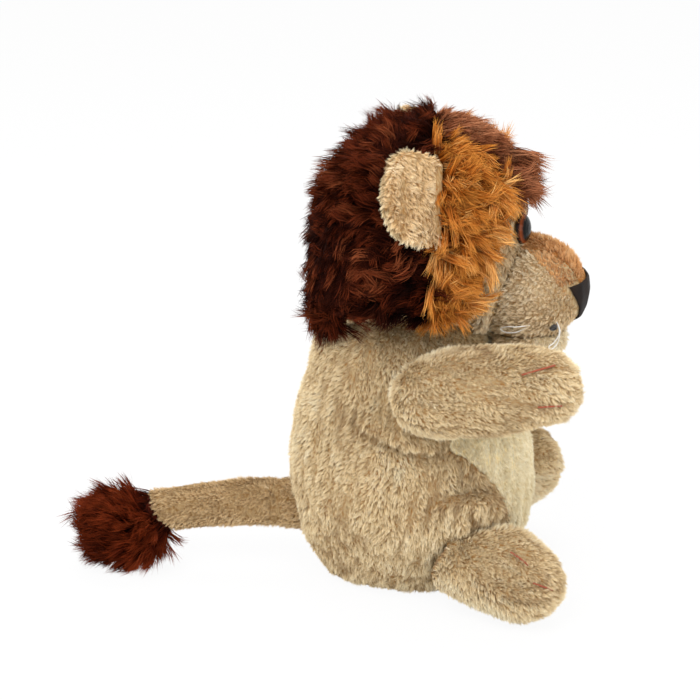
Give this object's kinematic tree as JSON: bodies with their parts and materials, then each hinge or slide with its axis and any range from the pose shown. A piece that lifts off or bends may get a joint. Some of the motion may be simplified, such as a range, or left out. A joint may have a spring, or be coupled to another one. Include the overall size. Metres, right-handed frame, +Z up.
{
  "type": "lion hand puppet",
  "caption": "Seated plush lion hand puppet with a long-pile mane, finger pockets in head and arms, stuffed legs and a tufted tail; the body opens below for the hand.",
  "frame": {"origin": "middle of the bounding box's underside, on the surface the puppet sits on", "axes": "+X the way the lion faces, +Y the lion's left, +Z up"},
  "size_m": [0.2618, 0.1672, 0.2435],
  "materials": {
    "tan_plush": "short tan plush pile",
    "cream_plush": "short cream plush pile",
    "face_plush": "short beige plush pile",
    "bridge_plush": "short orange-tan plush pile",
    "ear_plush": "short pale plush pile",
    "brown_fur": "long dark brown pile",
    "gold_fur": "long golden-orange pile",
    "nose_satin": "dark satin",
    "eye_plastic": "glossy domed eye",
    "washer_plastic": "plain locking washer",
    "lining": "smooth knitted lining",
    "filling": "loose polyester filling",
    "white_thread": "white thread"
  },
  "bodies": {
    "torso": {"belly_panel": "cream_plush", "side_panel_right": "tan_plush", "side_panel_left": "tan_plush", "hem_band": "lining", "hand_lining": "lining"},
    "neck": {"neck_seam": "tan_plush"},
    "head": {"head_stuffing": "filling", "head_finger_stall": "lining", "face_panel": "face_plush", "mane_back": "brown_fur", "ruff_right": "gold_fur", "ruff_left": "gold_fur", "crown_strip": "brown_fur", "muzzle_bridge": "bridge_plush", "cheek_right": "face_plush", "cheek_left": "face_plush", "chin": "face_plush", "nose": "nose_satin", "eye_right": "eye_plastic", "eye_left": "eye_plastic", "eye_washer_right": "washer_plastic", "eye_washer_left": "washer_plastic", "ear_right_front": "ear_plush", "ear_right_back": "tan_plush", "ear_left_front": "ear_plush", "ear_left_back": "tan_plush", "whisker_right_rear": "white_thread", "whisker_right_front": "white_thread", "whisker_left_rear": "white_thread", "whisker_left_front": "white_thread"},
    "shoulder_right": {"shoulder_seam_right": "tan_plush"},
    "arm_right": {"arm_right": "tan_plush", "arm_right_finger_stall": "lining", "paw_right_filling": "filling"},
    "shoulder_left": {"shoulder_seam_left": "tan_plush"},
    "arm_left": {"arm_left": "tan_plush", "arm_left_finger_stall": "lining", "paw_left_filling": "filling"},
    "leg_right": {"leg_right": "tan_plush", "leg_right_filling": "filling"},
    "leg_left": {"leg_left": "tan_plush", "leg_left_filling": "filling"},
    "tail_root": {"tail_seam": "tan_plush"},
    "tail": {"tail_sleeve": "tan_plush", "tail_filling": "filling", "tail_tuft": "brown_fur"}
  },
  "joints": [
    {"name": "head_turn", "type": "hinge", "parent": "torso", "child": "neck", "pos_m": [0.04026, 0, 0.112], "axis": [0, 0, 1], "range_deg": [-10, 10], "stiffness_Nm_per_rad": 0.35},
    {"name": "head_nod", "type": "hinge", "parent": "neck", "child": "head", "pos_m": [0.04026, 0, 0.112], "axis": [0, 1, 0], "range_deg": [-14, 15], "stiffness_Nm_per_rad": 0.6},
    {"name": "arm_right_swing", "type": "hinge", "parent": "torso", "child": "shoulder_right", "pos_m": [0.05526, -0.05782, 0.12], "axis": [0, 0, -1], "range_deg": [0, 40], "stiffness_Nm_per_rad": 0.03},
    {"name": "arm_right_lower", "type": "hinge", "parent": "shoulder_right", "child": "arm_right", "pos_m": [0.05526, -0.05782, 0.12], "axis": [0.2399, 0.7952, -0.5568], "range_deg": [0, 30], "stiffness_Nm_per_rad": 0.03},
    {"name": "arm_left_swing", "type": "hinge", "parent": "torso", "child": "shoulder_left", "pos_m": [0.05526, 0.05782, 0.12], "axis": [0, 0, 1], "range_deg": [0, 40], "stiffness_Nm_per_rad": 0.03},
    {"name": "arm_left_lower", "type": "hinge", "parent": "shoulder_left", "child": "arm_left", "pos_m": [0.05526, 0.05782, 0.12], "axis": [-0.2399, 0.7952, 0.5568], "range_deg": [0, 30], "stiffness_Nm_per_rad": 0.03},
    {"name": "leg_right_swing", "type": "hinge", "parent": "torso", "child": "leg_right", "pos_m": [0.07126, -0.03653, 0.037], "axis": [0, -1, 0], "range_deg": [-30, 35], "stiffness_Nm_per_rad": 0.04},
    {"name": "leg_left_swing", "type": "hinge", "parent": "torso", "child": "leg_left", "pos_m": [0.07126, 0.03653, 0.037], "axis": [0, -1, 0], "range_deg": [-64, 1], "stiffness_Nm_per_rad": 0.04},
    {"name": "tail_lift", "type": "hinge", "parent": "torso", "child": "tail_root", "pos_m": [-0.02706, 0, 0.0375], "axis": [0, 1, 0], "range_deg": [-20, 45], "stiffness_Nm_per_rad": 0.02},
    {"name": "tail_wag", "type": "hinge", "parent": "tail_root", "child": "tail", "pos_m": [-0.02706, 0, 0.0375], "axis": [0, 0, 1], "range_deg": [-40, 40], "stiffness_Nm_per_rad": 0.02}
  ]
}
